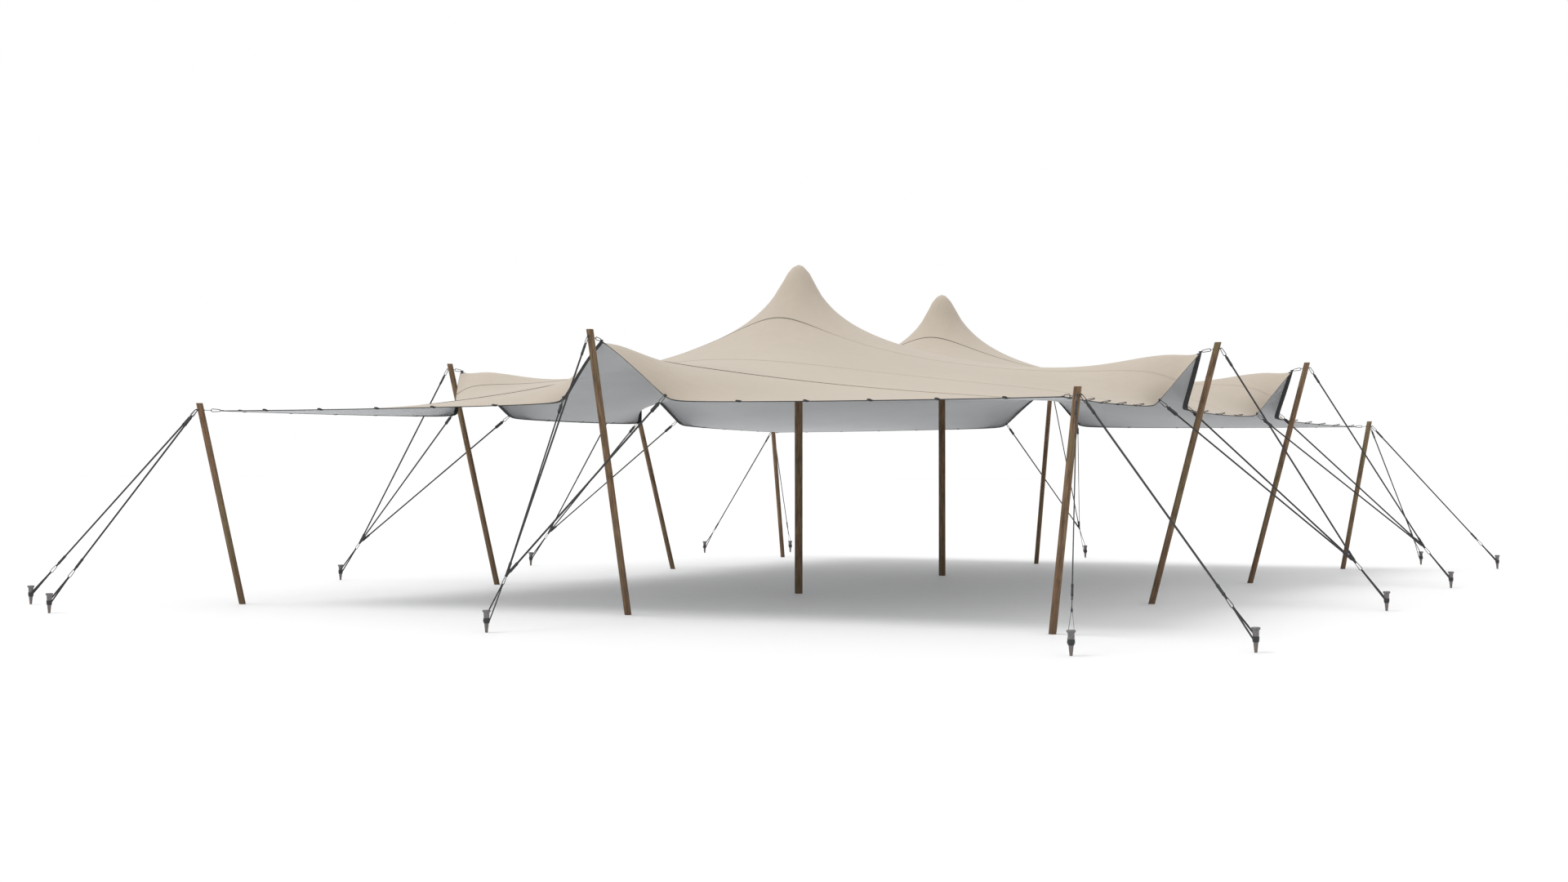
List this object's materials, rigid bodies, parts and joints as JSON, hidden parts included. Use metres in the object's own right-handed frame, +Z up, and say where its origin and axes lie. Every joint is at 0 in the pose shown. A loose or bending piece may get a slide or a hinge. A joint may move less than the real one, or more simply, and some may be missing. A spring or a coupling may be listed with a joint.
{
  "type": "stretch tent",
  "caption": "Open-sided stretch tent: beige fabric canopy with peaks over centre posts, leaning timber posts, webbing stays and steel ground stakes.",
  "frame": {"origin": "middle of the footprint at ground level, halfway between the two centre posts", "axes": "+X to the right side, +Y from the front end to the back end along the long side, +Z up"},
  "size_m": [14.438, 18.638, 4.14],
  "materials": {
    "canopy_fabric": "matt beige stretch fabric, light grey underneath",
    "post_timber": "weathered brown round timber",
    "cap_wood": "turned brown timber",
    "stay_webbing": "dark grey woven webbing with bright steel links",
    "stake_steel": "dull grey forged steel"
  },
  "bodies": {
    "root": {"canopy_width_01": "canopy_fabric", "canopy_width_02": "canopy_fabric", "canopy_width_03": "canopy_fabric", "canopy_width_04": "canopy_fabric", "canopy_width_05": "canopy_fabric", "canopy_width_06": "canopy_fabric", "canopy_width_07": "canopy_fabric", "canopy_width_08": "canopy_fabric", "canopy_width_09": "canopy_fabric", "canopy_width_10": "canopy_fabric", "canopy_width_11": "canopy_fabric", "post_side_front": "post_timber", "post_side_back": "post_timber", "post_side_left_front": "post_timber", "post_side_left_back": "post_timber", "post_side_right_front": "post_timber", "post_side_right_back": "post_timber", "post_corner_front_left": "post_timber", "post_corner_front_right": "post_timber", "post_corner_back_left": "post_timber", "post_corner_back_right": "post_timber", "post_centre_front": "post_timber", "cap_front": "cap_wood", "post_centre_back": "post_timber", "cap_back": "cap_wood", "stay_side_front": "stay_webbing", "stake_side_front": "stake_steel", "stay_side_back": "stay_webbing", "stake_side_back": "stake_steel", "stay_side_left_front": "stay_webbing", "stake_side_left_front": "stake_steel", "stay_side_left_back": "stay_webbing", "stake_side_left_back": "stake_steel", "stay_side_right_front": "stay_webbing", "stake_side_right_front": "stake_steel", "stay_side_right_back": "stay_webbing", "stake_side_right_back": "stake_steel", "stay_corner_front_left_a": "stay_webbing", "stake_corner_front_left_a": "stake_steel", "stay_corner_front_left_b": "stay_webbing", "stake_corner_front_left_b": "stake_steel", "stay_corner_front_right_a": "stay_webbing", "stake_corner_front_right_a": "stake_steel", "stay_corner_front_right_b": "stay_webbing", "stake_corner_front_right_b": "stake_steel", "stay_corner_back_left_a": "stay_webbing", "stake_corner_back_left_a": "stake_steel", "stay_corner_back_left_b": "stay_webbing", "stake_corner_back_left_b": "stake_steel", "stay_corner_back_right_a": "stay_webbing", "stake_corner_back_right_a": "stake_steel", "stay_corner_back_right_b": "stay_webbing", "stake_corner_back_right_b": "stake_steel"}
  },
  "joints": []
}
